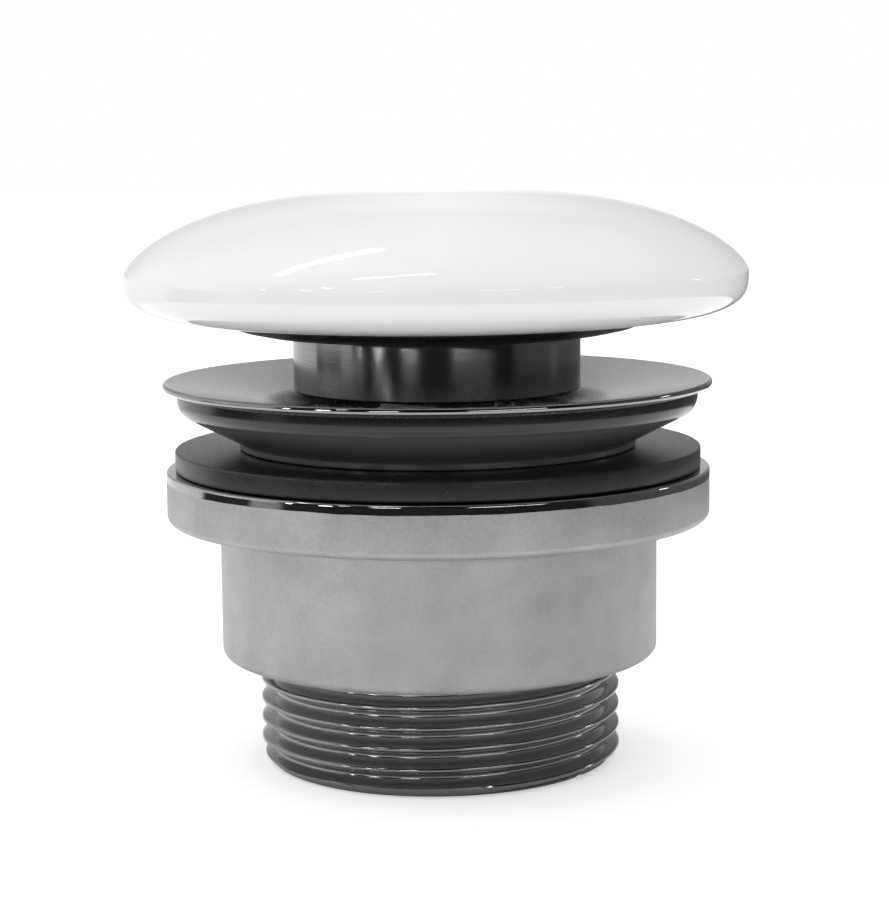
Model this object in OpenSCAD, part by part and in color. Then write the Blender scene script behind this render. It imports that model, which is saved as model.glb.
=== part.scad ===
// Free-flow basin waste: a dished flange on a threaded tail, two seals and a
// backnut below, and a ceramic cap that stands on a short neck above the bore.
// +Z is up. The origin is the centre of the lower end of the tail.

/* [Waste body] */
// Height from the lower end of the tail to the top of the flange rim
body_h = 44.3; // [42:0.1:70]
// Outer diameter of the flange
flange_d = 63.2; // [61.6:0.2:70]
// Thickness of the flange at its rounded rim
rim_t = 0.8; // [0.6:0.05:1.2]
// Fall of the dish towards the bore, in degrees
dish_slope = 12; // [9:1:14]
// Fall of the underside of the flange, in degrees
under_slope = 18; // [16:1:22]
// Radius where the dish turns down into the bore
mouth_round = 3; // [1.5:0.25:4]
// Radius where the tail meets the underside of the flange
root_round = 1; // [0.6:0.1:1.4]
// Outer diameter of the pipe thread on the tail
thread_d = 41.91; // [41:0.01:43]
// Wall of the tail, from the crests of the thread to the bore
tail_wall = 2.955; // [2.6:0.005:4.5]
// Depth of the bevel at the lower end of the thread, measured on the radius
tail_bevel = 1.2; // [0.6:0.1:1.6]

/* [Cross] */
// Number of arms that carry the boss in the bore
arm_count = 4; // [3:1:6]
// Width of an arm
arm_w = 3; // [2:0.2:4]
// Height of an arm where it meets the wall of the bore
arm_h = 8; // [5:0.5:10]
// Height of an arm where it meets the boss
arm_boss_h = 5.5; // [4:0.5:8]
// Radius in the corners between an arm and its neighbours
arm_round = 2; // [1:0.25:2.5]
// Diameter of the threaded boss
boss_d = 15; // [13:0.5:17]
// Height of the threaded boss
boss_h = 10; // [9:0.5:14]

/* [Stud and lock nut] */
// Diameter of the stud
stud_d = 8; // [6:0.5:8]
// Length of stud inside the cap insert
stud_grip = 9.5; // [6:0.25:10]
// Length of stud that shows below the boss
stud_tail = 1; // [0:0.5:4]
// Width across the flats of the socket in the top of the stud
socket_w = 4; // [2.5:0.5:4]
// Depth of the socket
socket_depth = 5; // [3:0.5:6]
// Width across the flats of the lock nut
lock_nut_w = 13; // [12:0.5:14]
// Height of the lock nut
lock_nut_h = 4; // [3:0.5:6.5]
// Outer diameter of the spring washer
washer_d = 14.4; // [12:0.2:14.8]
// Thickness of the spring washer
washer_t = 2; // [1.2:0.2:2.4]

/* [Upper seal] */
// Outer diameter of the conical seal under the flange
upper_seal_d = 59.9; // [57:0.1:61]
// Height of the seal from its upper outer edge to its lower face
upper_seal_h = 6.5; // [5.5:0.1:9]
// Height of the seal's side, down to where it would meet the cone
upper_seal_side = 2.05; // [1.5:0.05:2.6]
// Radius between the side and the cone
upper_seal_round = 2; // [0.5:0.1:2.2]
// Diameter of the seal's lower face
upper_seal_toe_d = 45.8; // [44.6:0.1:50]
// Height of the lip round the lower face
upper_seal_lip = 0.8; // [0.5:0.05:1.2]

/* [Lower seal] */
// Outer diameter of the flat seal on the backnut
lower_seal_d = 60.6; // [52:0.1:61]
// Thickness of the flat seal
lower_seal_t = 2.3; // [1.5:0.1:4]

/* [Backnut] */
// Outer diameter of the nut's flange
nut_flange_d = 62.7; // [61.5:0.1:70]
// Thickness of the nut's flange
nut_flange_t = 5.9; // [4:0.1:8]
// Outer diameter of the nut's hub
nut_hub_d = 50.6; // [48:0.1:56]
// Height of the nut
nut_h = 21.6; // [16:0.1:22]
// Radius of the nut's upper outer corner
nut_round = 0.7; // [0.4:0.05:1.5]
// Radius of the lower outer corners of the nut's flange and hub
nut_lower_round = 0.9; // [0.3:0.1:1.5]

/* [Neck] */
// Outer diameter of the neck
neck_d = 33.1; // [30:0.1:34]
// Height of the neck
neck_h = 6.7; // [6:0.1:12]
// Wall of the neck
neck_wall = 1.4; // [1:0.1:2]
// Thickness of the web across the top of the neck
web_t = 2; // [1.5:0.1:2.5]
// Depth of the neck's lower edge below the top of the flange rim
neck_drop = 1.3; // [0:0.05:1.5]

/* [Cap gasket] */
// Diameter of the gasket against the cap
gasket_top_d = 49.2; // [44:0.2:52]
// Diameter of the gasket against the neck
gasket_bottom_d = 40.6; // [36:0.2:43]
// Thickness of the gasket
gasket_t = 1.4; // [1.2:0.1:3]

/* [Ceramic cap] */
// Diameter of the cap
cap_d = 71.3; // [64:0.1:90]
// Height of the crown above the widest line
cap_crown_h = 9.4; // [8:0.1:16]
// Height of the belly below the widest line
cap_belly_h = 5.6; // [4:0.1:8]
// Fullness of the crown across the cap
crown_fullness = 2.83; // [2:0.01:4]
// Roundness of the crown at the widest line
crown_roundness = 1.47; // [1.2:0.01:2]
// Fullness of the belly across the cap
belly_fullness = 6; // [4:0.1:8]
// Roundness of the belly at the widest line
belly_roundness = 3.36; // [2:0.01:4]

/* [Cap insert] */
// Diameter of the metal insert in the cap
insert_d = 30; // [24:0.5:32]
// Depth of the insert in the cap
insert_h = 6; // [5:0.5:7]
// Diameter of the threaded bush under the insert
bush_d = 12; // [11:0.5:13]
// Length of the bush below the web of the neck
bush_tail = 3; // [2.5:0.1:4]
// Height of metal left above the blind thread
insert_roof = 2; // [1:0.5:3]
// Outer diameter of the retaining ring
clip_d = 16.4; // [15.4:0.1:18]
// Thickness of the retaining ring
clip_t = 0.8; // [0.6:0.1:1]

/* [Fits] */
// Radial gap of a thread that turns
thread_gap = 0.05; // [0.03:0.01:0.1]
// Radial gap between the bush and the web that turns on it
bush_gap = 0.06; // [0.03:0.01:0.1]
// Radial gap between a seal and what passes through it
seal_gap = 0.25; // [0.1:0.05:0.5]
// Gap between faces that slide or part
face_gap = 0.05; // [0.02:0.01:0.1]
// Radial gap for the cement round the insert
cement_gap = 0.1; // [0.05:0.01:0.2]
// Small bevel or radius on turned edges
edge_break = 0.3; // [0.1:0.05:0.4]
// Radius on the edges of moulded rubber
rubber_round = 0.25; // [0.1:0.05:0.4]

/* [Hidden] */

$fn = 96;
ROUND_STEPS = 6;
CAP_STEPS = 22;
eps = 0.01;

flange_r = flange_d / 2;
thread_r = thread_d / 2;
bore_r = thread_r - tail_wall;
stud_r = stud_d / 2;
neck_r = neck_d / 2;
bush_r = bush_d / 2;
cap_r = cap_d / 2;
land_r = gasket_top_d / 2;

// Heights, from the rim down to the backnut
rim_z = body_h;
rim_r = rim_t / 2;
rim_x = flange_r - rim_r;
function dish_z(r) = rim_z - rim_r + rim_r / cos(dish_slope) - (rim_x - r) * tan(dish_slope);
function under_z(r) = rim_z - rim_r - rim_r / cos(under_slope) - (rim_x - r) * tan(under_slope);
seal_r = upper_seal_d / 2;
seal_top_z = under_z(seal_r);
seal_toe_z = seal_top_z - upper_seal_h;
lower_seal_z = seal_toe_z - face_gap - lower_seal_t;
nut_z = lower_seal_z - face_gap - nut_h;

// Heights, from the rim up to the cap
neck_z = rim_z - neck_drop;
web_top_z = neck_z + neck_h;
web_z = web_top_z - web_t;
gasket_z = web_top_z;
land_z = gasket_z + gasket_t + face_gap;
bush_z = web_z - bush_tail;

// Heights, from the bush down through the lock nut to the cross
lock_nut_z = bush_z - face_gap - lock_nut_h;
washer_z = lock_nut_z - washer_t;
boss_z = washer_z - boss_h;
stud_z = boss_z - stud_tail;
stud_top_z = bush_z + stud_grip;
clip_z = web_z - face_gap - clip_t;
groove_r = bush_r - 0.8;

// Points of a quarter of the cap's outline, from the widest line to the axis
function quarter(h, full, round_, t) =
    [cap_r * pow(cos(t), 2 / full), h * pow(sin(t), 2 / round_)];
function belly_drop(r) =
    cap_belly_h * pow(1 - pow(r / cap_r, belly_fullness), 1 / belly_roundness);
waist_z = land_z + belly_drop(land_r);
belly_end = acos(pow(land_r / cap_r, belly_fullness / 2));

// An outline from corners [r, z, radius], with an arc in each rounded corner
function unit(v) = v / norm(v);
function flat(p) = [p.x, p.y];
function arc_at(q, a, b, rad) =
    let (half = acos(a * b) / 2,
         c = q + unit(a + b) * rad / sin(half),
         p = q + a * rad / tan(half) - c,
         s = q + b * rad / tan(half) - c,
         start = atan2(p.y, p.x),
         side = sign(p.x * s.y - p.y * s.x),
         sweep = side * (180 - 2 * half))
    [for (i = [0:ROUND_STEPS])
        c + rad * [cos(start + sweep * i / ROUND_STEPS),
                   sin(start + sweep * i / ROUND_STEPS)]];
function outline(corners) =
    let (n = len(corners))
    [for (i = [0:n - 1])
        let (p = corners[(i + n - 1) % n], q = corners[i], s = corners[(i + 1) % n])
        each q[2] == 0 ? [flat(q)]
            : arc_at(flat(q), unit(flat(p) - flat(q)), unit(flat(s) - flat(q)), q[2])];

module turned(corners) {
    rotate_extrude() polygon(outline(corners));
}

// Flange, dish, mouth, bore and threaded tail in one turned piece
module waste_body() {
    // The rounded rim runs from the underside over the edge to the dish
    rim_steps = 2 * ROUND_STEPS;
    rim_sweep = 180 + dish_slope - under_slope;
    rim = [for (i = [0:rim_steps])
        let (a = under_slope - 90 + rim_sweep * i / rim_steps)
        [rim_x + rim_r * cos(a), rim_z - rim_r + rim_r * sin(a), 0]];
    color("silver")
    turned(concat(
        [[bore_r + edge_break, 0, 0],
         [thread_r - tail_bevel, 0, 0],
         [thread_r, tail_bevel, 0],
         [thread_r, under_z(thread_r), root_round]],
        rim,
        [[bore_r, dish_z(bore_r), mouth_round],
         [bore_r, edge_break, 0]]));
}

// Half of one arm in plan, with the corner radii at the boss and at the wall
module arm_half() {
    mid = arm_w / 2 + arm_round;
    boss_x = sqrt(pow(boss_d / 2 + arm_round, 2) - pow(mid, 2));
    wall_x = sqrt(pow(bore_r - arm_round, 2) - pow(mid, 2));
    reach = bore_r / wall_x + 0.2;
    square([bore_r + 1, arm_w / 2]);
    difference() {
        polygon([[0, 0], [boss_x, 0], [boss_x, mid]]);
        translate([boss_x, mid]) circle(arm_round);
    }
    difference() {
        polygon([[wall_x, 0], [wall_x * reach, 0], [wall_x * reach, mid * reach], [wall_x, mid]]);
        translate([wall_x, mid]) circle(arm_round);
    }
}

// Arms that deepen towards the wall of the bore, round a threaded boss
module cross() {
    arm_drop = 1.5;
    arm_fall = 1;
    arm_top = washer_z - arm_drop;
    color("silver")
    difference() {
        union() {
            intersection() {
                translate([0, 0, boss_z - arm_h])
                    linear_extrude(boss_h + arm_h)
                    intersection() {
                        circle(bore_r);
                        for (i = [0:arm_count - 1])
                            rotate(i * 360 / arm_count)
                            for (side = [0, 1]) mirror([0, side]) arm_half();
                    }
                rotate_extrude()
                    polygon([[0, arm_top], [boss_d / 2, arm_top], [bore_r + 1, arm_top - arm_fall],
                             [bore_r + 1, arm_top - arm_fall - arm_h],
                             [boss_d / 2, arm_top - arm_boss_h], [0, arm_top - arm_boss_h]]);
            }
            turned([[0, boss_z, 0], [boss_d / 2 - edge_break, boss_z, 0],
                    [boss_d / 2, boss_z + edge_break, 0],
                    [boss_d / 2, washer_z - edge_break, 0],
                    [boss_d / 2 - edge_break, washer_z, 0], [0, washer_z, 0]]);
        }
        translate([0, 0, boss_z - eps]) cylinder(r = stud_r, h = boss_h + 2 * eps);
    }
}

// Rubber ring with a conical foot that centres itself in the basin's hole
module upper_seal() {
    inner = thread_r + seal_gap;
    relief = root_round + seal_gap;
    toe_r = upper_seal_toe_d / 2;
    color([0.12, 0.12, 0.12])
    turned([
        [inner, seal_toe_z, 0],
        [toe_r, seal_toe_z, rubber_round],
        [toe_r, seal_toe_z + upper_seal_lip, rubber_round],
        [seal_r, seal_top_z - upper_seal_side, upper_seal_round],
        [seal_r, seal_top_z, 0],
        [inner + relief, under_z(inner + relief), 0],
        [inner, under_z(inner) - relief, 0]
    ]);
}

// Flat rubber ring between the basin's underside and the backnut
module lower_seal() {
    inner = thread_r + seal_gap;
    outer = lower_seal_d / 2;
    color([0.12, 0.12, 0.12])
    turned([
        [inner, lower_seal_z, 0],
        [outer, lower_seal_z, rubber_round],
        [outer, lower_seal_z + lower_seal_t, rubber_round],
        [inner, lower_seal_z + lower_seal_t, 0]
    ]);
}

// Round nut: a broad flange that presses the seal, on a plain hub for the hand
module backnut() {
    bore = thread_r + thread_gap;
    top = nut_z + nut_h;
    shoulder = top - nut_flange_t;
    lead_in = 1.2;
    color([0.7, 0.7, 0.68])
    turned([
        [bore + lead_in, nut_z, 0],
        [nut_hub_d / 2, nut_z, nut_lower_round],
        [nut_hub_d / 2, shoulder, 0],
        [nut_flange_d / 2, shoulder, nut_lower_round],
        [nut_flange_d / 2, top, nut_round],
        [bore + lead_in, top, 0],
        [bore, top - lead_in, 0],
        [bore, nut_z + lead_in, 0]
    ]);
}

// Threaded stud with a hexagon socket in its top
module centre_stud() {
    bevel = 0.8;
    color("silver")
    difference() {
        turned([
            [0, stud_z, 0], [stud_r - bevel, stud_z, 0], [stud_r, stud_z + bevel, 0],
            [stud_r, stud_top_z - bevel, 0], [stud_r - bevel, stud_top_z, 0], [0, stud_top_z, 0]
        ]);
        translate([0, 0, stud_top_z - socket_depth])
            cylinder(d = socket_w / cos(30), h = socket_depth + eps, $fn = 6);
    }
}

// Split ring under the lock nut, pressed flat
module spring_washer() {
    slit = 0.8;
    color("gray")
    translate([0, 0, washer_z])
    difference() {
        cylinder(d = washer_d, h = washer_t);
        translate([0, 0, -eps]) cylinder(r = stud_r + seal_gap, h = washer_t + 2 * eps);
        translate([0, 0, washer_t / 2]) rotate([45, 0, 0])
            translate([0, -slit / 2, -washer_t * 2]) cube([washer_d, slit, washer_t * 4]);
    }
}

// Hexagon nut that locks the stud and stops the cap's bush
module lock_nut() {
    corner_r = lock_nut_w / 2 / cos(30);
    cut = (corner_r - lock_nut_w / 2) * tan(30);
    color("gray")
    translate([0, 0, lock_nut_z])
    difference() {
        intersection() {
            cylinder(r = corner_r, h = lock_nut_h, $fn = 6);
            rotate_extrude()
                polygon([[0, 0], [lock_nut_w / 2, 0], [corner_r, cut],
                         [corner_r, lock_nut_h - cut], [lock_nut_w / 2, lock_nut_h],
                         [0, lock_nut_h]]);
        }
        translate([0, 0, -eps]) cylinder(r = stud_r, h = lock_nut_h + 2 * eps);
    }
}

// Short upside-down cup between the cap and the bore
module neck() {
    hole = bush_r + bush_gap;
    inner_round = 0.5;
    color([0.75, 0.75, 0.74])
    turned([
        [hole, web_z, 0],
        [neck_r - neck_wall, web_z, inner_round],
        [neck_r - neck_wall, neck_z, 0],
        [neck_r, neck_z, edge_break],
        [neck_r, web_top_z, edge_break],
        [hole, web_top_z, 0]
    ]);
}

// Conical rubber ring that cushions the ceramic on the neck
module cap_gasket() {
    inner = bush_r + seal_gap;
    bottom_r = gasket_bottom_d / 2;
    belly_r = (bottom_r + land_r) / 2;
    bulge = 0.2;
    color([0.15, 0.15, 0.15])
    turned([
        [inner, gasket_z, 0],
        [bottom_r, gasket_z, 0],
        [belly_r + bulge, gasket_z + gasket_t / 2 - bulge, 0],
        [land_r, gasket_z + gasket_t - edge_break / 2, 0],
        [land_r, gasket_z + gasket_t, 0],
        [inner, gasket_z + gasket_t, 0]
    ]);
}

// Metal insert cemented into the cap, with the threaded bush that takes the stud
module cap_insert() {
    head_r = insert_d / 2;
    thread_bore = stud_r + thread_gap;
    roof_z = land_z + insert_h;
    lead_in = 0.6;
    groove_top = web_z - face_gap + clip_t * 0.05;
    color("goldenrod")
    difference() {
        turned([
            [0, bush_z, 0],
            [bush_r, bush_z, edge_break],
            [bush_r, clip_z, 0],
            [groove_r, clip_z, 0],
            [groove_r, groove_top, 0],
            [bush_r, groove_top, 0],
            [bush_r, land_z, 0],
            [head_r, land_z, 0],
            [head_r, roof_z, edge_break],
            [0, roof_z, 0]
        ]);
        translate([0, 0, bush_z - eps])
            cylinder(r = thread_bore, h = roof_z - insert_roof - bush_z + eps);
        translate([0, 0, bush_z - eps])
            cylinder(r1 = thread_bore + lead_in, r2 = thread_bore, h = lead_in);
    }
}

// Open ring with three inner lobes, sprung into the groove of the bush
module retaining_ring() {
    outer = clip_d / 2;
    waist = bush_r + 0.9;
    lobe_w = 2.6;
    color("dimgray")
    translate([0, 0, clip_z])
    linear_extrude(clip_t)
    difference() {
        circle(outer);
        difference() {
            circle(waist);
            for (a = [90, 200, 340])
                rotate(a) translate([groove_r, -lobe_w / 2])
                    square([waist - groove_r + eps, lobe_w]);
        }
        circle(groove_r);
        translate([-groove_r * 0.8, -outer - eps]) square([groove_r * 1.6, outer]);
    }
}

// Glazed dome with a flat land below and a pocket for the insert
module ceramic_cap() {
    pocket_r = insert_d / 2 + cement_gap;
    crown = [for (i = [0:CAP_STEPS])
        [0, waist_z] + quarter(cap_crown_h, crown_fullness, crown_roundness, 90 * i / CAP_STEPS)];
    belly = [for (i = [0:CAP_STEPS - 1])
        let (p = quarter(cap_belly_h, belly_fullness, belly_roundness,
                         belly_end * (1 - i / CAP_STEPS)))
        [p.x, waist_z - p.y]];
    color("white")
    rotate_extrude()
        polygon(concat([[0, land_z + insert_h], [pocket_r, land_z + insert_h],
                        [pocket_r, land_z]], belly, crown));
}

waste_body();
cross();
upper_seal();
lower_seal();
backnut();
centre_stud();
spring_washer();
lock_nut();
neck();
cap_gasket();
cap_insert();
retaining_ring();
ceramic_cap();
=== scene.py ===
import math
import bpy
import bmesh
from mathutils import Matrix, Vector


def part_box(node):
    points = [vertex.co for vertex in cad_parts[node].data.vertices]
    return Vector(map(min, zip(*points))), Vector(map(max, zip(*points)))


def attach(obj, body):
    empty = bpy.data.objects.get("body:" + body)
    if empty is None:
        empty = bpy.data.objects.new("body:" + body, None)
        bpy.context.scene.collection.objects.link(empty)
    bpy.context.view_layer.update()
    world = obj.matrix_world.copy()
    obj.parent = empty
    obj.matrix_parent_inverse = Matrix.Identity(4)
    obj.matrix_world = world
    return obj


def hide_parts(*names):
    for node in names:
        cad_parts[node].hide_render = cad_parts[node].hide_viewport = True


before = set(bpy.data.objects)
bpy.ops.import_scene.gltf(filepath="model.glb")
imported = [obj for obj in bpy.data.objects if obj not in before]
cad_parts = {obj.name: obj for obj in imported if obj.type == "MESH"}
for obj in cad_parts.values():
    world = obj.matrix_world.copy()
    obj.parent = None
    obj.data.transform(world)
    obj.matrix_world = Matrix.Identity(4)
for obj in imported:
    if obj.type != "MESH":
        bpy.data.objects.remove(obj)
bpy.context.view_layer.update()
print("frame loaded")

# Sizes are in millimetres outside the studio, and mm turns them to metres
mm = 0.001
weldDistance = 0.0005 * mm
cutTolerance = 0.0002 * mm
edgeBreak = 0.3


def fromHex(code):
    # sRGB hex to the linear colour that a node takes
    parts = [int(code[i:i + 2], 16) / 255 for i in (0, 2, 4)]
    return tuple(c / 12.92 if c <= 0.04045 else ((c + 0.055) / 1.055) ** 2.4 for c in parts) + (1.0,)


def connect(tree, node, inputs):
    # each input is a value, a socket to link, or a node whose own output is linked
    for name, value in inputs.items():
        if isinstance(value, bpy.types.Node):
            value = next(s for s in value.outputs if not s.is_unavailable)
        if isinstance(value, bpy.types.NodeSocket):
            tree.links.new(value, node.inputs[name])
        else:
            node.inputs[name].default_value = value


def addNode(tree, kind, settings=None, inputs=None):
    # one node with its settings and what goes into it
    node = tree.nodes.new(kind)
    for name, value in (settings or {}).items():
        setattr(node, name, value)
    connect(tree, node, inputs or {})
    return node


def direction(azimuth, elevation):
    # azimuth 0 is towards the camera, positive to its right
    a, e = math.radians(azimuth), math.radians(elevation)
    return Vector((math.sin(a) * math.cos(e), -math.cos(a) * math.cos(e), math.sin(e)))


def heights(node):
    low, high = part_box(node)
    return low.z / mm, high.z / mm


def outerRadius(node):
    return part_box(node)[1].x / mm


# The photograph's camera, fitted to the ellipses of the rim, the nut and the cap
camera = {
    "place": (0.0, -273.79, 72.34),
    "lookDown": 0.1327,
    "turnRight": 0.0028,
    "roll": -0.0098,
    "lens": 95.25,
    "sensor": 36.0,
    "clip": (10.0, 20000.0),
}


def makeCamera():
    data = bpy.data.cameras.new("photoCamera")
    data.sensor_fit = "VERTICAL"
    data.sensor_height = camera["sensor"]
    data.lens = camera["lens"]
    data.clip_start, data.clip_end = (end * mm for end in camera["clip"])
    seen = bpy.data.objects.new("photoCamera", data)
    bpy.context.scene.collection.objects.link(seen)
    yaw, pitch, roll = camera["turnRight"], camera["lookDown"], camera["roll"]
    ahead = Vector((math.sin(yaw) * math.cos(pitch), math.cos(yaw) * math.cos(pitch), -math.sin(pitch)))
    level = Vector((math.cos(yaw), -math.sin(yaw), 0))
    upright = level.cross(ahead)
    right = math.cos(roll) * level + math.sin(roll) * upright
    up = right.cross(ahead)
    turn = Matrix((right, up, -ahead)).transposed().to_4x4()
    seen.matrix_world = Matrix.Translation(Vector(camera["place"]) * mm) @ turn
    bpy.context.scene.camera = seen


makeCamera()
print("camera placed")


# Mesh helpers: every corner is (radius, height, rounding)
def allOf(bm):
    return bm.verts[:] + bm.edges[:] + bm.faces[:]


def only(geom, kind):
    return [part for part in geom if isinstance(part, kind)]


def wireOf(bm, corners, closed):
    verts = [bm.verts.new((r * mm, 0, z * mm)) for r, z, _ in corners]
    ends = verts + verts[:1] if closed else verts
    for a, b in zip(ends, ends[1:]):
        bm.edges.new((a, b))
    return verts


def roundCorners(bm, verts, corners, segments):
    # the bevel runs along the edges, so the radius is turned into that length
    for vert, (_, _, rounding) in zip(verts, corners):
        if rounding and len(vert.link_edges) == 2:
            a, b = (e.other_vert(vert).co - vert.co for e in vert.link_edges)
            reach = rounding * mm / math.tan(a.angle(b) / 2)
            bmesh.ops.bevel(bm, geom=[vert], offset=reach, offset_type="OFFSET", segments=segments,
                            profile=0.5, affect="VERTICES", material=-1)


def spinAround(bm, steps, turns=1, rise=0.0):
    # one turn is spun, and a helix stacks copies of it
    bmesh.ops.spin(bm, geom=bm.verts[:] + bm.edges[:], cent=(0, 0, 0), axis=(0, 0, 1),
                   dvec=(0, 0, rise * mm / steps), angle=math.tau, steps=steps, use_merge=rise == 0)
    oneTurn = allOf(bm)
    for i in range(1, turns):
        copy = bmesh.ops.duplicate(bm, geom=oneTurn)["geom"]
        bmesh.ops.translate(bm, verts=only(copy, bmesh.types.BMVert), vec=(0, 0, rise * mm * i))
    bmesh.ops.remove_doubles(bm, verts=bm.verts[:], dist=weldDistance)


def cutAway(bm, point, side):
    # takes off what lies beyond a plane, and gives the rim that is left
    cut = bmesh.ops.bisect_plane(bm, geom=allOf(bm), dist=cutTolerance, plane_co=point, plane_no=side,
                                 clear_outer=True)
    return only(cut["geom_cut"], bmesh.types.BMEdge)


def turned(corners, closed=True, steps=192, segments=6):
    bm = bmesh.new()
    roundCorners(bm, wireOf(bm, corners, closed), corners, segments)
    spinAround(bm, steps)
    return bm


def threaded(thread, low, high, grow=0.0, steps=96, segments=5):
    # one pitch of rounded thread from mid-flank to mid-flank, spun into a helix and cut at both ends
    pitch, depth, flank = thread["pitch"], thread["depth"], math.radians(thread["flank"])
    middle = thread["radius"] - depth / 2 + grow
    tip = pitch / 4 / math.tan(flank)
    # a bevel this long on both flanks brings a sharp tip down to the thread's depth
    reach = (tip - depth / 2) / (2 * (1 - math.sqrt(0.5)) * math.cos(flank))
    rounding = reach * math.tan(flank)
    start = thread["crestHeight"] - pitch / 4
    start -= pitch * (math.ceil((start - low) / pitch) + 1)
    corners = [(middle, start, 0), (middle + tip, start + pitch / 4, rounding),
               (middle, start + pitch / 2, 0), (middle - tip, start + pitch * 3 / 4, rounding),
               (middle, start + pitch, 0)]
    bm = bmesh.new()
    roundCorners(bm, wireOf(bm, corners, False), corners, segments)
    # the flanks are the long edges, and the rest is in the arcs
    flanks = [e for e in bm.edges if e.calc_length() > pitch * mm / 8]
    bmesh.ops.subdivide_edges(bm, edges=flanks, cuts=2)
    spinAround(bm, steps, turns=math.ceil((high - start) / pitch), rise=pitch)
    cutAway(bm, (0, 0, low * mm), (0, 0, -1))
    cutAway(bm, (0, 0, high * mm), (0, 0, 1))
    return bm


def clampRadius(bm, limit, keepUnder):
    # limit gives the allowed radius at a height, as a turning tool would leave it
    for vert in bm.verts:
        radius, edge = vert.co.xy.length, limit(vert.co.z / mm) * mm
        if (radius > edge) == keepUnder:
            vert.co.xy *= edge / radius


def joined(*parts):
    whole = bmesh.new()
    for part in parts:
        mesh = bpy.data.meshes.new("part")
        part.to_mesh(mesh)
        part.free()
        whole.from_mesh(mesh)
        bpy.data.meshes.remove(mesh)
    return whole


def rimsNear(bm, height, within=0.45):
    # the open edges that lie about at this height
    return [e for e in bm.edges if e.is_boundary
            and all(abs(v.co.z - height * mm) < within * mm for v in e.verts)]


def fillBetween(bm, height):
    # the flat ring between an outer and an inner rim
    bmesh.ops.triangle_fill(bm, use_beauty=True, edges=rimsNear(bm, height), normal=(0, 0, 1))


def objectOf(bm, name, material):
    mesh = bpy.data.meshes.new(name)
    bm.to_mesh(mesh)
    bm.free()
    mesh.materials.append(material)
    made = bpy.data.objects.new(name, mesh)
    bpy.context.scene.collection.objects.link(made)
    return made


def finishPiece(bm, name, body, node, material, sharpAngle=32):
    bmesh.ops.remove_doubles(bm, verts=bm.verts[:], dist=weldDistance)
    bmesh.ops.dissolve_degenerate(bm, edges=bm.edges[:], dist=weldDistance)
    bmesh.ops.recalc_face_normals(bm, faces=bm.faces[:])
    piece = objectOf(bm, name, material)
    piece.data.shade_smooth()
    piece.data.set_sharp_from_angle(angle=math.radians(sharpAngle))
    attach(piece, body)
    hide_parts(node)


# Materials
def newMaterial(name, inputs):
    material = bpy.data.materials.new(name)
    material.use_nodes = True
    tree = material.node_tree
    tree.nodes.clear()
    shader = addNode(tree, "ShaderNodeBsdfPrincipled", inputs=inputs)
    addNode(tree, "ShaderNodeOutputMaterial", inputs={"Surface": shader})
    return material, tree, shader


def placeOn(tree):
    # Object coordinates, the distance from the axis and the height, in metres
    place = addNode(tree, "ShaderNodeTexCoord").outputs["Object"]
    parts = addNode(tree, "ShaderNodeSeparateXYZ", inputs={"Vector": place})
    level = addNode(tree, "ShaderNodeVectorMath", {"operation": "MULTIPLY"}, {0: place, 1: (1, 1, 0)})
    radius = addNode(tree, "ShaderNodeVectorMath", {"operation": "LENGTH"}, {0: level})
    return place, radius, parts.outputs["Z"]


def scaleFor(step):
    # the scale of a pattern that repeats at this step
    return 1 / (step * mm)


def toolRings(tree, radius, height, step):
    # rings round the axis, evenly spaced along the profile
    along = addNode(tree, "ShaderNodeMath", {"operation": "ADD"}, {0: radius, 1: height})
    return addNode(tree, "ShaderNodeTexNoise", {"noise_dimensions": "1D"},
                   {"W": along, "Scale": scaleFor(step), "Detail": 3.0, "Roughness": 0.7})


# Inputs of a mix between two colours, and of a map from one range to another
def twoColours(colours):
    return {"A": fromHex(colours[0]), "B": fromHex(colours[1])}


def fromSpan(low, high):
    return {"From Min": low, "From Max": high}


def toSpan(low, high):
    return {"To Min": low, "To Max": high}


# most of a noise's values fall in this range
noiseSpan = fromSpan(0.3, 0.7)


# Turned metal: a tool leaves rings, which spread a reflection along the profile,
# a quarter turn away from the tangent that runs round the axis
acrossRings = 0.25
turnedFinish = {
    "colours": ("8A8A8A", "989898"), "anisotropy": 0.6,
    "ringStep": 0.3, "ringDepth": 0.0008, "grain": 0.5,
    "satin": (0.22, 0.28), "polish": 0.06, "threadPolish": 0.14,
    "polishedFrom": 31.05, "polishedSoft": 0.1,
    "threadTop": 37.0, "threadSoft": 0.5, "threadFrom": 18.4,
}


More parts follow.
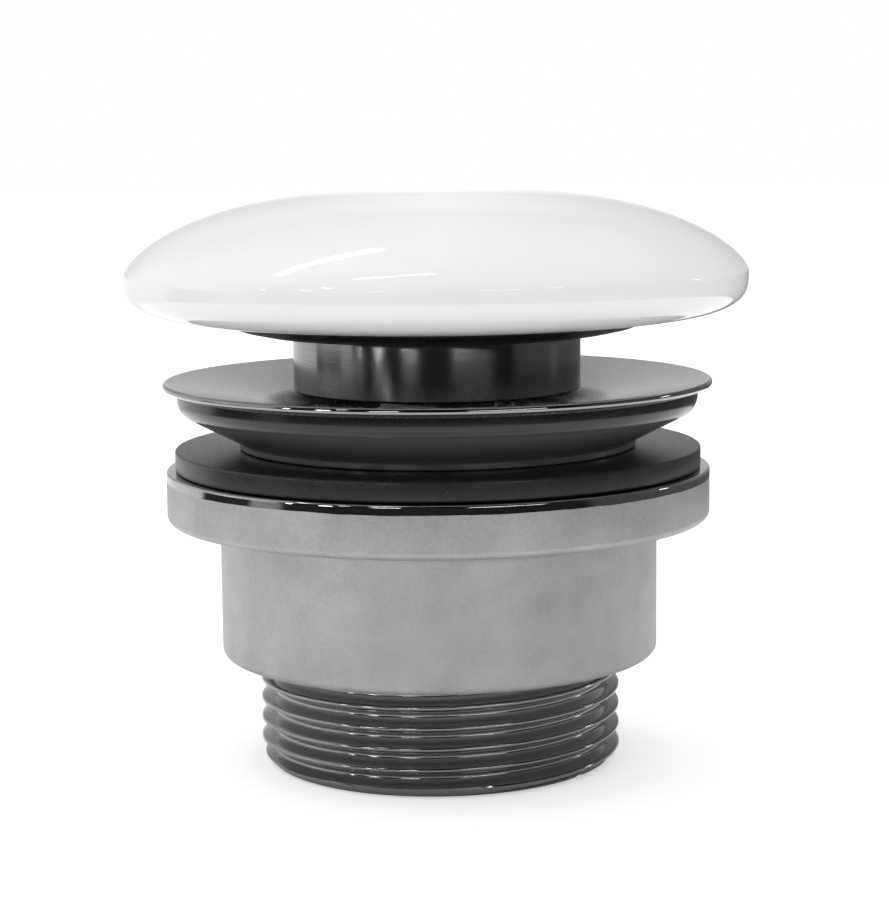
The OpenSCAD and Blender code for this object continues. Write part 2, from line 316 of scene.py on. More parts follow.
def makeSatinMetal():
    # Nickel-plated brass: a soft grey dish with fine rings, a mirror rim and a bright thread
    look = turnedFinish
    material, tree, shader = newMaterial("satinNickelPlate", {
        "Metallic": 1.0, "Anisotropic": look["anisotropy"], "Anisotropic Rotation": acrossRings})
    place, radius, height = placeOn(tree)
    rings = toolRings(tree, radius, height, look["ringStep"])
    grain = addNode(tree, "ShaderNodeTexNoise", {},
                    {"Vector": place, "Scale": scaleFor(look["grain"]), "Detail": 2.0})
    satin = addNode(tree, "ShaderNodeMapRange", {},
                    {"Value": grain, **noiseSpan, **toSpan(*look["satin"])})
    polished, threadTop = look["polishedFrom"], look["threadTop"]
    rim = addNode(tree, "ShaderNodeMapRange", {},
                  {"Value": radius, **fromSpan(polished * mm, (polished + look["polishedSoft"]) * mm)})
    onTail = addNode(tree, "ShaderNodeMapRange", {},
                     {"Value": height, **fromSpan(threadTop * mm, (threadTop - look["threadSoft"]) * mm)})
    outside = addNode(tree, "ShaderNodeMath", {"operation": "GREATER_THAN"},
                      {0: radius, 1: look["threadFrom"] * mm})
    onThread = addNode(tree, "ShaderNodeMath", {"operation": "MULTIPLY"}, {0: onTail, 1: outside})
    dull = addNode(tree, "ShaderNodeMix", {}, {"Factor": rim, "A": satin, "B": look["polish"]})
    connect(tree, shader, {
        "Base Color": addNode(tree, "ShaderNodeMix", {"data_type": "RGBA"},
                              {"Factor": grain, **twoColours(look["colours"])}),
        "Roughness": addNode(tree, "ShaderNodeMix", {},
                             {"Factor": onThread, "A": dull, "B": look["threadPolish"]}),
        "Normal": addNode(tree, "ShaderNodeBump", {}, {"Height": rings, "Distance": look["ringDepth"] * mm}),
        "Tangent": addNode(tree, "ShaderNodeTangent", {"direction_type": "RADIAL", "axis": "Z"}),
    })
    return material


nutFinish = {
    "colours": ("A4A4A4", "BABABA"), "mottle": (0.35, 0.65), "grainShare": 0.6, "anisotropy": 0.4,
    "ringStep": 0.35, "grain": 0.45, "cloud": 4.0, "relief": 0.008,
    "satin": (0.46, 0.58), "polish": 0.06,
    "polishedFrom": 33.05, "polishedWaver": 0.12, "polishedSoft": 0.06,
}


def makeNutMetal():
    # Nickel-plated brass nut: a fine matt turned side and a polished upper corner
    look = nutFinish
    material, tree, shader = newMaterial("satinNutPlate", {
        "Metallic": 1.0, "Anisotropic": look["anisotropy"], "Anisotropic Rotation": acrossRings})
    place, radius, height = placeOn(tree)
    rings = toolRings(tree, radius, height, look["ringStep"])
    grain = addNode(tree, "ShaderNodeTexNoise", {},
                    {"Vector": place, "Scale": scaleFor(look["grain"]), "Detail": 3.0, "Roughness": 0.6})
    cloud = addNode(tree, "ShaderNodeTexNoise", {},
                    {"Vector": place, "Scale": scaleFor(look["cloud"]), "Detail": 2.0})
    # the polish ends in a slightly uneven line
    polished = look["polishedFrom"]
    edge = addNode(tree, "ShaderNodeMapRange", {},
                   {"Value": cloud, **noiseSpan,
                    **toSpan(polished * mm, (polished + look["polishedWaver"]) * mm)})
    above = addNode(tree, "ShaderNodeMath", {"operation": "SUBTRACT"}, {0: height, 1: edge})
    corner = addNode(tree, "ShaderNodeMapRange", {},
                     {"Value": above, "From Max": look["polishedSoft"] * mm})
    satin = addNode(tree, "ShaderNodeMapRange", {},
                    {"Value": grain, **noiseSpan, **toSpan(*look["satin"])})
    mottle = addNode(tree, "ShaderNodeMix", {}, {"Factor": look["grainShare"], "A": cloud, "B": grain})
    shade = addNode(tree, "ShaderNodeMapRange", {},
                    {"Value": mottle, **fromSpan(*look["mottle"])})
    texture = addNode(tree, "ShaderNodeMix", {}, {"Factor": 0.5, "A": rings, "B": grain})
    relief = addNode(tree, "ShaderNodeMix", {}, {"Factor": corner, "A": texture, "B": 0.5})
    connect(tree, shader, {
        "Base Color": addNode(tree, "ShaderNodeMix", {"data_type": "RGBA"},
                              {"Factor": shade, **twoColours(look["colours"])}),
        "Roughness": addNode(tree, "ShaderNodeMix", {}, {"Factor": corner, "A": satin, "B": look["polish"]}),
        "Normal": addNode(tree, "ShaderNodeBump", {}, {"Height": relief, "Distance": look["relief"] * mm}),
        "Tangent": addNode(tree, "ShaderNodeTangent", {"direction_type": "RADIAL", "axis": "Z"}),
    })
    return material


neckFinish = {
    "colours": ("808080", "A0A0A0"), "anisotropy": 0.8,
    "lineStep": 0.18, "grain": 0.4, "relief": 0.001, "satin": (0.15, 0.19),
}


def makeBrushedMetal():
    # Stainless steel brushed round its axis: narrow upright streaks of light
    look = neckFinish
    material, tree, shader = newMaterial("brushedSteel", {
        "Metallic": 1.0, "Anisotropic": look["anisotropy"], "Anisotropic Rotation": acrossRings})
    place, _, height = placeOn(tree)
    lines = addNode(tree, "ShaderNodeTexNoise", {"noise_dimensions": "1D"},
                    {"W": height, "Scale": scaleFor(look["lineStep"]), "Detail": 4.0, "Roughness": 0.7})
    grain = addNode(tree, "ShaderNodeTexNoise", {},
                    {"Vector": place, "Scale": scaleFor(look["grain"]), "Detail": 2.0})
    connect(tree, shader, {
        "Base Color": addNode(tree, "ShaderNodeMix", {"data_type": "RGBA"},
                              {"Factor": lines, **twoColours(look["colours"])}),
        "Roughness": addNode(tree, "ShaderNodeMapRange", {},
                             {"Value": grain, **noiseSpan, **toSpan(*look["satin"])}),
        "Normal": addNode(tree, "ShaderNodeBump", {}, {"Height": lines, "Distance": look["relief"] * mm}),
        "Tangent": addNode(tree, "ShaderNodeTangent", {"direction_type": "RADIAL", "axis": "Z"}),
    })
    return material


# Rubber: the cone is painted a lighter grey, painted light that stands for what it catches from the table
# below, and the flat seal is cut from a darker sheet
rubberFinish = {
    "grain": 0.5, "cloud": 5.0, "relief": 0.0015, "lowColourTop": 41.0, "lowColourSoft": 0.5,
    "speck": 0.7, "dust": (0.78, 0.82), "dustShare": 0.5, "dustColour": "A8A8A4",
}


def makeRubber(name, colours, lowColour, gloss):
    # EPDM rubber: nearly black, with a soft gloss, fine mould texture and a few specks of dust
    look = rubberFinish
    material, tree, shader = newMaterial(name, {})
    place, _, height = placeOn(tree)
    grain = addNode(tree, "ShaderNodeTexNoise", {},
                    {"Vector": place, "Scale": scaleFor(look["grain"]), "Detail": 3.0, "Roughness": 0.6})
    cloud = addNode(tree, "ShaderNodeTexNoise", {},
                    {"Vector": place, "Scale": scaleFor(look["cloud"]), "Detail": 2.0})
    dust = addNode(tree, "ShaderNodeTexNoise", {}, {"Vector": place, "Scale": scaleFor(look["speck"])})
    body = addNode(tree, "ShaderNodeMix", {"data_type": "RGBA"}, {"Factor": cloud, **twoColours(colours)})
    # lower down the colour turns to a second grey: on the moulded cone this lighter grey is painted light
    # from the table below
    top, soft = look["lowColourTop"], look["lowColourSoft"]
    onCone = addNode(tree, "ShaderNodeMapRange", {},
                     {"Value": height, **fromSpan((top + soft) * mm, (top - soft) * mm)})
    withLowColour = addNode(tree, "ShaderNodeMix", {"data_type": "RGBA"},
                      {"Factor": onCone, "A": body, "B": fromHex(lowColour)})
    specks = addNode(tree, "ShaderNodeMapRange", {},
                     {"Value": dust, **fromSpan(*look["dust"]), "To Max": look["dustShare"]})
    connect(tree, shader, {
        "Base Color": addNode(tree, "ShaderNodeMix", {"data_type": "RGBA"},
                              {"Factor": specks, "A": withLowColour, "B": fromHex(look["dustColour"])}),
        "Roughness": addNode(tree, "ShaderNodeMapRange", {},
                             {"Value": grain, **noiseSpan, **toSpan(*gloss)}),
        "Normal": addNode(tree, "ShaderNodeBump", {}, {"Height": grain, "Distance": look["relief"] * mm}),
    })
    return material


glazeFinish = {"colours": ("F0F0EF", "F4F4F3"), "roughness": 0.05, "wave": 9.0, "waveDepth": 0.03}


def makeGlaze():
    # Sanitary ceramic under a white glaze: very even and mirror-smooth, with a faint slow wave
    look = glazeFinish
    material, tree, shader = newMaterial("whiteGlaze", {"Roughness": look["roughness"], "IOR": 1.52})
    place, _, _ = placeOn(tree)
    wave = addNode(tree, "ShaderNodeTexNoise", {},
                   {"Vector": place, "Scale": scaleFor(look["wave"]), "Detail": 1.0})
    connect(tree, shader, {
        "Base Color": addNode(tree, "ShaderNodeMix", {"data_type": "RGBA"},
                              {"Factor": wave, **twoColours(look["colours"])}),
        "Normal": addNode(tree, "ShaderNodeBump", {}, {"Height": wave, "Distance": look["waveDepth"] * mm}),
    })
    return material


steelFinish = {"colours": ("A6ABB0", "C0C3C6"), "mottle": 0.7, "satin": (0.26, 0.42), "relief": 0.003}


def makePlatedSteel():
    # Zinc-plated steel: cool grey with a soft mottle
    look = steelFinish
    material, tree, shader = newMaterial("zincPlatedSteel", {"Metallic": 1.0})
    place, _, _ = placeOn(tree)
    grain = addNode(tree, "ShaderNodeTexNoise", {},
                    {"Vector": place, "Scale": scaleFor(look["mottle"]), "Detail": 3.0})
    connect(tree, shader, {
        "Base Color": addNode(tree, "ShaderNodeMix", {"data_type": "RGBA"},
                              {"Factor": grain, **twoColours(look["colours"])}),
        "Roughness": addNode(tree, "ShaderNodeMapRange", {},
                             {"Value": grain, **noiseSpan, **toSpan(*look["satin"])}),
        "Normal": addNode(tree, "ShaderNodeBump", {}, {"Height": grain, "Distance": look["relief"] * mm}),
    })
    return material


brassFinish = {
    "colours": ("C9A558", "D8B96F"), "ringStep": 0.25, "cloud": 3.0,
    "satin": (0.2, 0.34), "relief": 0.003,
}


def makeBrass():
    # Free-cutting brass, turned: warm yellow with tool rings
    look = brassFinish
    material, tree, shader = newMaterial("turnedBrass", {"Metallic": 1.0})
    place, radius, height = placeOn(tree)
    rings = toolRings(tree, radius, height, look["ringStep"])
    cloud = addNode(tree, "ShaderNodeTexNoise", {},
                    {"Vector": place, "Scale": scaleFor(look["cloud"]), "Detail": 2.0})
    connect(tree, shader, {
        "Base Color": addNode(tree, "ShaderNodeMix", {"data_type": "RGBA"},
                              {"Factor": cloud, **twoColours(look["colours"])}),
        "Roughness": addNode(tree, "ShaderNodeMapRange", {},
                             {"Value": rings, **noiseSpan, **toSpan(*look["satin"])}),
        "Normal": addNode(tree, "ShaderNodeBump", {}, {"Height": rings, "Distance": look["relief"] * mm}),
    })
    return material


satinMetal = makeSatinMetal()
nutMetal = makeNutMetal()
brushedMetal = makeBrushedMetal()
# the moulded cone's lighter grey is painted light from the table below; the sheet's second grey is its own
# dark tone
mouldedRubber = makeRubber("mouldedRubber", ("0F0F0F", "161616"), lowColour="545452", gloss=(0.17, 0.23))
sheetRubber = makeRubber("sheetRubber", ("121212", "181818"), lowColour="151515", gloss=(0.26, 0.36))
glaze = makeGlaze()
platedSteel = makePlatedSteel()
brass = makeBrass()
print("materials made")

# The pipe thread G 1 1/4 and the metric thread M8, both right-hand
pipeThread = {"radius": 20.955, "pitch": 2.309, "depth": 1.479, "flank": 27.5, "crestHeight": 1.55}
studThread = {"radius": 4.0, "pitch": 1.25, "depth": 0.767, "flank": 30.0, "crestHeight": 1.0}

# Waste body: rounded rim, dish, mouth, bore and threaded tail
wasteBody = {
    "rimRadius": 0.4, "dishSlope": 12, "underSlope": 18,
    "mouthRound": 3.0, "rootRound": 1.0,
    "boreRadius": 18.0, "tailBevel": 1.2,
    "runOutStart": 35.5, "runOutEnd": 37.5, "runOutGap": 0.4,
}


def flangeLine(radius, slope, side):
    # a line at a slope that touches the rounded rim from above (side 1) or from below (side -1)
    rim, angle = wasteBody["rimRadius"], math.radians(slope)
    centre = heights("waste_body")[1] - rim
    inwards = outerRadius("waste_body") - rim - radius
    return centre + side * rim / math.cos(angle) - inwards * math.tan(angle)


def dishAt(radius):
    return flangeLine(radius, wasteBody["dishSlope"], 1)


def underAt(radius):
    return flangeLine(radius, wasteBody["underSlope"], -1)


def makeWasteBody():
    size = wasteBody
    tailEnd = heights("waste_body")[0]
    flangeR = outerRadius("waste_body")
    bore, tailR = size["boreRadius"], pipeThread["radius"]
    shell = turned([
        (bore + edgeBreak, tailEnd, 0),
        (bore, tailEnd + edgeBreak, 0),
        (bore, dishAt(bore), size["mouthRound"]),
        (flangeR, dishAt(flangeR), size["rimRadius"]),
        (flangeR, underAt(flangeR), size["rimRadius"]),
        (tailR, underAt(tailR), size["rootRound"]),
        (tailR, size["runOutEnd"] + size["runOutGap"], 0),
    ], closed=False, segments=8)
    thread = threaded(pipeThread, tailEnd, size["runOutEnd"])
    root = tailR - pipeThread["depth"]
    slope = pipeThread["depth"] / (size["runOutEnd"] - size["runOutStart"])
    clampRadius(thread, lambda z: tailR - size["tailBevel"] + z - tailEnd, True)
    clampRadius(thread, lambda z: min(tailR, root + (z - size["runOutStart"]) * slope), False)
    whole = joined(shell, thread)
    fillBetween(whole, tailEnd)
    bmesh.ops.bridge_loops(whole, edges=rimsNear(whole, size["runOutEnd"] + size["runOutGap"] / 2))
    finishPiece(whole, "wasteBody", "waste", "waste_body", satinMetal)


makeWasteBody()
print("waste body made")

# The seals: a conical one under the flange and a flat one on the nut
seals = {"gap": 0.25, "moulded": 0.25}
conicalSeal = {"side": 2.05, "sideRound": 2.0, "toeRadius": 22.9, "lip": 0.8}


def makeConicalSeal():
    size, moulded = conicalSeal, seals["moulded"]
    inner = pipeThread["radius"] + seals["gap"]
    outer = outerRadius("upper_seal")
    toe = heights("upper_seal")[0]
    relief = wasteBody["rootRound"] + seals["gap"]
    seal = turned([
        (inner, toe, 0),
        (size["toeRadius"], toe, moulded),
        (size["toeRadius"], toe + size["lip"], moulded),
        (outer, underAt(outer) - size["side"], size["sideRound"]),
        (outer, underAt(outer), 0),
        (inner + relief, underAt(inner + relief), 0),
        (inner, underAt(inner) - relief, 0),
    ])
    finishPiece(seal, "conicalSeal", "waste", "upper_seal", mouldedRubber)


def makeFlatSeal():
    inner = pipeThread["radius"] + seals["gap"]
    outer = outerRadius("lower_seal")
    low, high = heights("lower_seal")
    seal = turned([
        (inner, low, 0),
        (outer, low, seals["moulded"]),
        (outer, high, seals["moulded"]),
        (inner, high, 0),
    ])
    finishPiece(seal, "flatSeal", "clamp_seal", "lower_seal", sheetRubber)


makeConicalSeal()
makeFlatSeal()
print("seals made")

# Backnut: a broad flange on a plain hub, threaded through
backnut = {
    "flangeThick": 5.9, "hubRadius": 25.3, "leadIn": 1.2, "lip": 0.15, "threadGap": 0.08,
    "cornerRound": 0.3, "lowerRound": 0.9,
}


def makeBacknut():
    size = backnut
    low, high = heights("backnut")
    outer = outerRadius("backnut")
    shoulder = high - size["flangeThick"]
    mouth = pipeThread["radius"] + size["threadGap"] + size["leadIn"]
    shell = turned([
        (mouth + size["lip"], low, 0),
        (size["hubRadius"], low, size["lowerRound"]),
        (size["hubRadius"], shoulder, 0),
        (outer, shoulder, size["lowerRound"]),
        (outer, high, size["cornerRound"]),
        (mouth + size["lip"], high, 0),
    ], closed=False, segments=8)
    thread = threaded(pipeThread, low, high, grow=size["threadGap"])
    clampRadius(thread, lambda z: mouth - min(z - low, high - z), False)
    whole = joined(shell, thread)
    bmesh.ops.remove_doubles(whole, verts=whole.verts[:], dist=weldDistance)
    fillBetween(whole, low)
    fillBetween(whole, high)
    finishPiece(whole, "roundBacknut", "nut", "backnut", nutMetal)


makeBacknut()
print("backnut made")

# Neck under the cap: an upside-down cup that turns on the insert's bush
neck = {"wall": 1.4, "webThick": 2.0, "hole": 6.06, "inside": 0.5}


def makeNeck():
    size = neck
    low, high = heights("neck")
    outer = outerRadius("neck")
    web = high - size["webThick"]
    cup = turned([
        (size["hole"], web, 0),
        (outer - size["wall"], web, size["inside"]),
        (outer - size["wall"], low, 0),
        (outer, low, edgeBreak),
        (outer, high, edgeBreak),
        (size["hole"], high, 0),
    ])
    finishPiece(cup, "shortNeck", "neck_sleeve", "neck", brushedMetal)


# Gasket between the neck and the cap, with a slightly bulging side
gasket = {"hole": 6.25, "lowRadius": 20.3, "bulge": 0.2, "bellyRound": 3.0}


def makeGasket():
    size = gasket
    low, high = heights("cap_gasket")
    outer = outerRadius("cap_gasket")
    belly = (size["lowRadius"] + outer) / 2 + size["bulge"]
    ring = turned([
        (size["hole"], low, 0),
        (size["lowRadius"], low, edgeBreak / 2),
        (belly, (low + high) / 2 - size["bulge"], size["bellyRound"]),
        (outer, high - edgeBreak / 2, 0),
        (outer, high, 0),
        (size["hole"], high, 0),
    ])
    finishPiece(ring, "capGasket", "neck_sleeve", "cap_gasket", sheetRubber)


makeNeck()
makeGasket()
print("neck and gasket made")

# Ceramic cap: a crown and a belly that meet at the widest line
ceramicCap = {
    "land": 24.6, "pocketRadius": 15.1, "pocketDepth": 6.0, "pocketRound": 0.3,
    "crownHeight": 9.4, "bellyHeight": 5.6,
    "crownShape": (2.83, 1.47), "bellyShape": (6.0, 3.36),
    "pointsAcross": 40,
}


def makeCap():
    size = ceramicCap
    low, high = heights("ceramic_cap")
    wide = outerRadius("ceramic_cap")
    waist = high - size["crownHeight"]
    roof = low + size["pocketDepth"]

    def bulge(t, height, shape):
        # quarter of a rounded outline, t from the widest line to the axis
        return (wide * math.cos(t) ** (2 / shape[0]), height * math.sin(t) ** (2 / shape[1]))

    full = math.acos((size["land"] / wide) ** (size["bellyShape"][0] / 2))
    steps = size["pointsAcross"]
    belly = [bulge(full * (1 - i / steps), size["bellyHeight"], size["bellyShape"]) for i in range(steps)]
    crown = [bulge(math.pi / 2 * i / steps, size["crownHeight"], size["crownShape"]) for i in range(steps)]
    pocket = size["pocketRadius"]
    corners = [(0, roof, 0), (pocket, roof, size["pocketRound"]), (pocket, low, 0)]
    corners += [(r, waist - z, 0) for r, z in belly]
    corners += [(r, waist + z, 0) for r, z in crown]
    corners += [(0, high, 0)]
    dome = turned(corners, closed=False, steps=256)
    finishPiece(dome, "ceramicCap", "cap", "ceramic_cap", glaze, sharpAngle=50)


makeCap()
print("cap made")

# Metal pieces inside: they show only when the cap is turned up, or from below
insert = {"bushRadius": 6.0, "grooveRadius": 5.2, "grooveGap": 0.04, "roof": 2.0, "leadIn": 0.6, "gap": 0.05}


def makeInsert():
    size = insert
    low, high = heights("cap_insert")
    clipLow, clipHigh = heights("retaining_ring")
    headLow = heights("ceramic_cap")[0]
    head = outerRadius("cap_insert")
    hole = studThread["radius"] + size["gap"]
    grooveTop = clipHigh + size["grooveGap"]
    body = turned([
        (0, high - size["roof"], 0),
        (hole, high - size["roof"], 0),
        (hole, low + size["leadIn"], 0),
        (hole + size["leadIn"], low, 0),
        (size["bushRadius"], low, edgeBreak),
        (size["bushRadius"], clipLow, 0),
        (size["grooveRadius"], clipLow, 0),
        (size["grooveRadius"], grooveTop, 0),
        (size["bushRadius"], grooveTop, 0),
        (size["bushRadius"], headLow, 0),
        (head, headLow, 0),
        (head, high, edgeBreak),
        (0, high, 0),
    ], steps=96, segments=4)
    finishPiece(body, "capInsert", "cap", "cap_insert", brass)


def hexagonCorner(width):
    # from the axis to a corner of a hexagon with this width across its flats
    return width / 2 / math.cos(math.pi / 6)


stud = {"bevel": 0.8, "socketWidth": 4.0, "socketDepth": 5.0}


def makeStud():
    size = stud
    low, high = heights("centre_stud")
    radius = studThread["radius"]
    thread = threaded(studThread, low, high, steps=48, segments=3)
    clampRadius(thread, lambda z: radius - size["bevel"] + min(z - low, high - z), True)
    socket = bmesh.new()
    corner = hexagonCorner(size["socketWidth"])
    ring = bmesh.ops.create_circle(socket, segments=6, radius=corner * mm)["verts"]
    bmesh.ops.translate(socket, verts=ring, vec=(0, 0, high * mm))
    walls = bmesh.ops.extrude_edge_only(socket, edges=socket.edges[:])["geom"]
    floor = only(walls, bmesh.types.BMVert)
    bmesh.ops.translate(socket, verts=floor, vec=(0, 0, -size["socketDepth"] * mm))
    bmesh.ops.contextual_create(socket, geom=[e for e in socket.edges if all(v in floor for v in e.verts)])
    whole = joined(thread, socket)
    fillBetween(whole, high)
    bmesh.ops.contextual_create(whole, geom=[e for e in whole.edges if e.is_boundary])
    finishPiece(whole, "centreStud", "waste", "centre_stud", platedSteel)


lockNut = {"width": 13.0}


def makeLockNut():
    low, high = heights("lock_nut")
    half, corner = lockNut["width"] / 2, hexagonCorner(lockNut["width"])
    cut = (corner - half) * math.tan(math.pi / 6)
    leadIn = insert["leadIn"]
    hole = studThread["radius"] + insert["gap"]
    blank = turned([
        (hole, low + leadIn, 0), (hole + leadIn, low, 0),
        (half, low, 0), (corner, low + cut, 0),
        (corner, high - cut, 0), (half, high, 0),
        (hole + leadIn, high, 0), (hole, high - leadIn, 0),
    ], steps=96)
    for i in range(6):
        side = direction(i * 60 + 90, 0)
        rim = cutAway(blank, side * half * mm, side)
        bmesh.ops.contextual_create(blank, geom=rim)
    finishPiece(blank, "lockNut", "waste", "lock_nut", platedSteel)


springWasher = {"hole": 4.25, "slit": 0.8, "holeRound": 0.1, "outerRound": 0.15}


def makeSpringWasher():
    size = springWasher
    low, high = heights("spring_washer")
    outer = outerRadius("spring_washer")
    corners = [(size["hole"], low, size["holeRound"]), (outer, low, size["outerRound"]),
               (outer, high, size["outerRound"]), (size["hole"], high, size["holeRound"])]
    ring = bmesh.new()
    roundCorners(ring, wireOf(ring, corners, True), corners, 2)
    bmesh.ops.contextual_create(ring, geom=ring.edges[:])
    slit = size["slit"] / ((size["hole"] + outer) / 2)
    bmesh.ops.transform(ring, matrix=Matrix.Rotation(slit / 2, 4, "Z"), verts=ring.verts[:])
    bmesh.ops.spin(ring, geom=ring.faces[:], cent=(0, 0, 0), axis=(0, 0, 1), angle=math.tau - slit,
                   steps=72, use_duplicate=False)
    finishPiece(ring, "springWasher", "waste", "spring_washer", platedSteel)


makeInsert()
makeStud()
makeLockNut()
makeSpringWasher()
# these two keep the part's own meshes
for node, material in (("cross", satinMetal), ("retaining_ring", platedSteel)):
    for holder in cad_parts[node].material_slots:
        holder.material = material
print("inner pieces made")

# Floor, world and lamps: white behind and to the left, and a dark room on the camera's side
studio = {
    # every length here is in metres, and the floor lies just under the tail
    "floorSize": 6.0,
    "floorGap": 0.00005,
    "floorColour": "F0F0F0",
    "floorGlow": 0.4,
    # how brightly mirrors see the table glow, and the span over which a painted shade close under the object
    # fades into that glow
    "floorMirrored": 0.5,
    "underObject": (0.035, 0.075),
    "tableEdge": (0.185, 0.2),
    # azimuth from the camera's side, positive to its right, with the light that comes from there, how light
    # the room looks there in a mirror, and how brightly the far part of the table glows in a mirror, a
    # painted reflection
    "daylight": [(-180, 1.0), (-90, 1.0), (0, 0.9), (90, 0.92), (180, 1.0)],
    "room": [(-180, 0.9), (-174, 0.62), (-155, 0.5), (-140, 0.85), (-108, 0.9), (-100, 1.3), (-92, 1.0),
             (-71, 0.8), (-69, 0.02), (60, 0.02), (66, 0.1), (150, 0.24), (168, 0.42), (176, 0.68),
             (180, 0.9)],
    "table": [(-180, 1.0), (-111, 1.0), (-108, 0.04), (-81, 0.04), (-79, 0.45), (-66, 0.35), (-63, 0.03),
              (60, 0.02), (66, 0.1), (110, 0.12), (165, 0.14), (173, 0.3), (178, 0.8), (180, 0.9)],
    # height above the horizon in degrees, and what part of that the room keeps
    "roomHeight": [(-90, 1.2), (4, 1.2), (9, 0.95), (24, 0.95), (32, 0.6), (90, 0.6)],
    "aim": (0.0, 0.0, 0.05),
    "softBox": {"azimuth": -120, "elevation": 68, "distance": 1.5, "size": 1.5, "power": 5.0},
    "tubes": [
        # from and to as azimuth and elevation, then width and brightness
        ((-94, 56), (-162, 65), 0.03, 18.0),
        ((-51, 65), (-2, 80), 0.03, 13.0),
        ((-45, 34), (-40, 35), 0.04, 16.0),
        ((-64, 9), (-61, 9), 0.08, 22.0),
        ((-49, 8), (-43, 8), 0.06, 22.0),
        ((-27, 9), (-15, 10), 0.035, 20.0),
        ((12, 9), (44, 12), 0.035, 13.0),
        ((103, 9), (109, 9), 0.05, 12.0),
    ],
    "tubeDistance": 0.8,
}


def greyAlong(tree, amount, low, high, stops):
    # a ramp of greys whose stops stand between low and high
    part = addNode(tree, "ShaderNodeMapRange", {}, {"Value": amount, **fromSpan(low, high)})
    ramp = addNode(tree, "ShaderNodeValToRGB", {}, {"Fac": part})
    for place, _ in stops[1:-1]:
        ramp.color_ramp.elements.new((place - low) / (high - low))
    for stop, (_, grey) in zip(ramp.color_ramp.elements, stops):
        stop.color = (grey, grey, grey, 1)
    return ramp


def aroundAndUp(tree, towards):
    # the azimuth and the elevation of a direction, in degrees
    parts = addNode(tree, "ShaderNodeSeparateXYZ", inputs={"Vector": towards})
    front = addNode(tree, "ShaderNodeMath", {"operation": "MULTIPLY"}, {0: parts.outputs["Y"], 1: -1.0})
    turn = addNode(tree, "ShaderNodeMath", {"operation": "ARCTAN2"}, {0: parts.outputs["X"], 1: front})
    lift = addNode(tree, "ShaderNodeMath", {"operation": "ARCSINE"}, {0: parts.outputs["Z"]})
    return [addNode(tree, "ShaderNodeMath", {"operation": "DEGREES"}, {0: angle}) for angle in (turn, lift)]


def rayKinds(tree):
    # 1 for what metal, glaze or glass shows, and 1 for what the camera sees
    path = addNode(tree, "ShaderNodeLightPath")
    mirrored = addNode(tree, "ShaderNodeMath", {"operation": "MAXIMUM"},
                       {0: path.outputs["Is Glossy Ray"], 1: path.outputs["Is Transmission Ray"]})
    return mirrored, path.outputs["Is Camera Ray"]


def makeFloor():
    # A pale table: it keeps the object's shadow. For mirrors it also glows, with a painted shade close under
    # the object, and beyond its edge it is painted black and glows as the table stops give, a painted
    # reflection of the room.
    material, tree, shader = newMaterial("paleFloor", {
        "Roughness": 0.9, "Specular IOR Level": 0.0, "Emission Color": (1, 1, 1, 1)})
    place, radius, _ = placeOn(tree)
    mirrored, seen = rayKinds(tree)
    level = addNode(tree, "ShaderNodeVectorMath", {"operation": "NORMALIZE"}, {0: place})
    # for mirrors the table is painted black beyond its edge, and a painted shade darkens its glow close under
    # the object
    beyond = addNode(tree, "ShaderNodeMapRange", {}, {"Value": radius, **fromSpan(*studio["tableEdge"])})
    offTable = addNode(tree, "ShaderNodeMath", {"operation": "MULTIPLY"}, {0: mirrored, 1: beyond})
    shaded = addNode(tree, "ShaderNodeMapRange", {},
                     {"Value": radius, **fromSpan(*studio["underObject"]), "To Max": studio["floorMirrored"]})
    azimuth, _ = aroundAndUp(tree, level)
    far = greyAlong(tree, azimuth, -180, 180, studio["table"])
    onTable = addNode(tree, "ShaderNodeMix", {}, {"Factor": beyond, "A": shaded, "B": far})
    forMirror = addNode(tree, "ShaderNodeMath", {"operation": "MULTIPLY"}, {0: mirrored, 1: onTable})
    forCamera = addNode(tree, "ShaderNodeMath", {"operation": "MULTIPLY"}, {0: seen, 1: studio["floorGlow"]})
    connect(tree, shader, {
        "Base Color": addNode(tree, "ShaderNodeMix", {"data_type": "RGBA"},
                              {"Factor": offTable, "A": fromHex(studio["floorColour"]), "B": (0, 0, 0, 1)}),
        "Emission Strength": addNode(tree, "ShaderNodeMath", {"operation": "ADD"},
                                     {0: forMirror, 1: forCamera}),
    })
    bm = bmesh.new()
    bmesh.ops.create_grid(bm, x_segments=1, y_segments=1, size=studio["floorSize"] / 2,
                          matrix=Matrix.Translation((0, 0, -studio["floorGap"])))
    objectOf(bm, "floor", material)


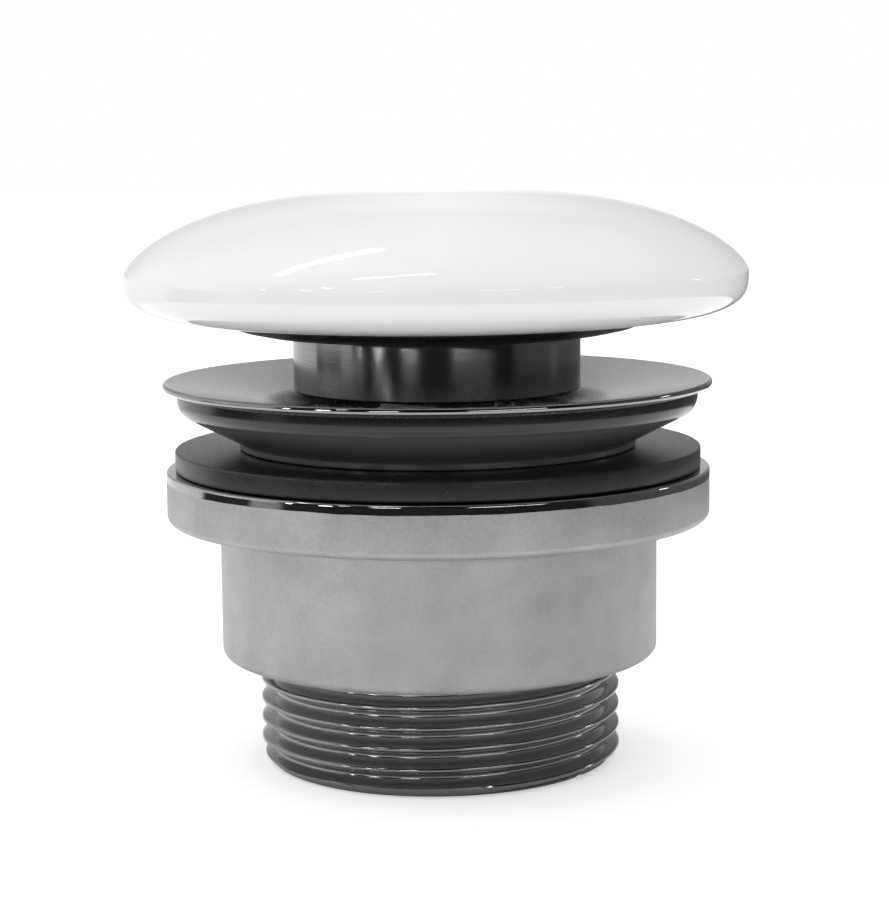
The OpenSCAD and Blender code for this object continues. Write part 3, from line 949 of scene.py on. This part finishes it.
def makeWorld():
    world = bpy.data.worlds.new("studio")
    bpy.context.scene.world = world
    world.use_nodes = True
    tree = world.node_tree
    tree.nodes.clear()
    mirrored, seen = rayKinds(tree)
    azimuth, elevation = aroundAndUp(tree, addNode(tree, "ShaderNodeTexCoord").outputs["Generated"])
    light = greyAlong(tree, azimuth, -180, 180, studio["daylight"])
    room = greyAlong(tree, azimuth, -180, 180, studio["room"])
    kept = greyAlong(tree, elevation, -90, 90, studio["roomHeight"])
    shown = addNode(tree, "ShaderNodeMath", {"operation": "MULTIPLY"}, {0: room, 1: kept})
    lit = addNode(tree, "ShaderNodeMix", {}, {"Factor": mirrored, "A": light, "B": shown})
    strength = addNode(tree, "ShaderNodeMix", {}, {"Factor": seen, "A": lit, "B": 1.0})
    sky = addNode(tree, "ShaderNodeBackground", inputs={"Color": (1, 1, 1, 1), "Strength": strength})
    addNode(tree, "ShaderNodeOutputWorld", inputs={"Surface": sky})


def makeLamp(name, place, width, height, power, along=None):
    # an area lamp that faces the object, its width level or along a line
    data = bpy.data.lights.new(name, "AREA")
    data.shape = "RECTANGLE"
    data.size, data.size_y = width, height
    data.energy = power
    lamp = bpy.data.objects.new(name, data)
    lamp.visible_camera = False
    bpy.context.scene.collection.objects.link(lamp)
    back = (place - Vector(studio["aim"])).normalized()
    side = (along or Vector((-back.y, back.x, 0))).normalized()
    side = (side - back * side.dot(back)).normalized()
    turn = Matrix((side, back.cross(side), back)).transposed().to_4x4()
    lamp.matrix_world = Matrix.Translation(place) @ turn
    return lamp


def makeLamps():
    # the soft box lights, and the tubes show only as reflections
    aim, box, far = Vector(studio["aim"]), studio["softBox"], studio["tubeDistance"]
    place = aim + direction(box["azimuth"], box["elevation"]) * box["distance"]
    soft = makeLamp("softBox", place, box["size"], box["size"], box["power"])
    soft.visible_glossy = False
    for i, (start, end, width, brightness) in enumerate(studio["tubes"]):
        a, b = (aim + direction(*d) * far for d in (start, end))
        length = (b - a).length
        power = brightness * math.pi * length * width
        tube = makeLamp("tube%d" % (i + 1), (a + b) / 2, length, width, power, along=b - a)
        tube.visible_diffuse = False


makeFloor()
makeWorld()
makeLamps()
print("studio made")

scene = bpy.context.scene
scene.view_settings.view_transform = "Standard"
